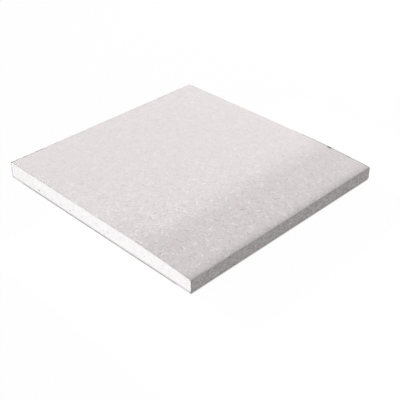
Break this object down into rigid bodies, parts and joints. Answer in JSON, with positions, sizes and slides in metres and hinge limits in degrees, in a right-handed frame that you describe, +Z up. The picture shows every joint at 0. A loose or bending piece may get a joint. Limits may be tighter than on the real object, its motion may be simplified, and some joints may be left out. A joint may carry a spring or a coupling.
{
  "type": "drywall sheet",
  "caption": "Flat square drywall sheet with a white gypsum core, light grey face paper, a darker back liner, a tapered paper-bound edge and bare cut ends, for lining walls and ceilings.",
  "frame": {"origin": "under the middle of the sheet, on the surface it lies on", "axes": "+Z up out of the face, +X across the sheet towards the tapered edge, +Y along the sheet between its cut ends"},
  "size_m": [0.18, 0.175, 0.0125],
  "materials": {
    "gypsum": "chalky matt white, pitted with fine air bubbles on the cut ends",
    "face_paper": "matt light warm grey paper with fine fibres",
    "back_paper": "matt recycled grey liner"
  },
  "bodies": {
    "root": {"gypsum_core": "gypsum", "face_paper": "face_paper", "back_paper": "back_paper"}
  },
  "joints": []
}
